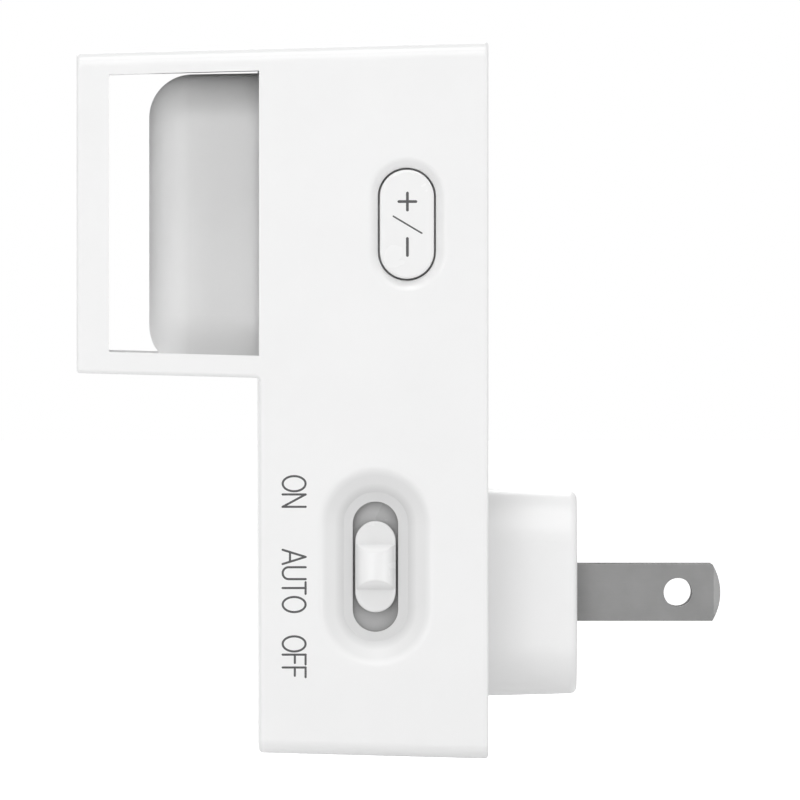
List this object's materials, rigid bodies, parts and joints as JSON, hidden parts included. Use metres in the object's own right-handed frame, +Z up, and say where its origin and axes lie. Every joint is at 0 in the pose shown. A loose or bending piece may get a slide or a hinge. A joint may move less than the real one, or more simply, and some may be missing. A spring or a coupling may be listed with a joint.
{
  "type": "plug-in night light",
  "caption": "Plug-in night light: L-shaped white shell with a windowed hood over a frosted dome, side slide switch, push button and two flat blades.",
  "frame": {"origin": "centre of the plug boss's end face, midway between the two blades", "axes": "+X along the blades into the wall outlet, +Z up, the control side with switch and button faces -Y"},
  "size_m": [0.0717, 0.05, 0.0796],
  "materials": {
    "white_shell": "satin moulded white plastic",
    "white_control": "satin moulded white plastic",
    "frosted_diffuser": "frosted translucent white plastic",
    "white_reflector": "bright white plastic",
    "circuit_board": "green glass fibre board",
    "light_source": "warm white light source",
    "plated_steel": "zinc plated steel",
    "black_plastic": "black moulded plastic",
    "photocell": "light dependent resistor",
    "sensor_lens": "translucent plastic window",
    "nickel_plated_blade": "nickel plated brass, satin",
    "film_capacitor": "red epoxy",
    "resistor_body": "lacquered ceramic"
  },
  "bodies": {
    "housing": {"front_housing": "white_shell", "rear_cover": "white_shell", "diffuser": "frosted_diffuser", "reflector": "white_reflector", "light_board": "circuit_board", "light_sources": "light_source", "light_leads": "plated_steel", "control_board": "circuit_board", "power_board": "circuit_board", "header_socket": "black_plastic", "header_pins": "plated_steel", "slide_switch_body": "black_plastic", "push_switch_body": "black_plastic", "photocell": "photocell", "sensor_lens": "sensor_lens", "blade_left": "nickel_plated_blade", "blade_right": "nickel_plated_blade", "blade_holder": "black_plastic", "film_capacitor": "film_capacitor", "electrolytic_capacitor": "black_plastic", "bridge_rectifier": "black_plastic", "fusible_resistor": "resistor_body", "driver_chip": "black_plastic", "housing_screws": "plated_steel", "control_board_screws": "plated_steel", "light_board_screws": "plated_steel", "power_board_screws": "plated_steel"},
    "button": {"brightness_button": "white_control", "push_switch_plunger": "black_plastic"},
    "mode_slider": {"mode_knob": "white_control", "slide_switch_lever": "black_plastic"}
  },
  "joints": [
    {"name": "button_press", "type": "slide", "parent": "housing", "child": "button", "axis": [0, 1, 0], "range_m": [0, 0.00035], "stiffness_N_per_m": 2000, "springref_m": -0.0001},
    {"name": "mode_slide", "type": "slide", "parent": "housing", "child": "mode_slider", "axis": [0, 0, 1], "range_m": [-0.002, 0.002]}
  ]
}
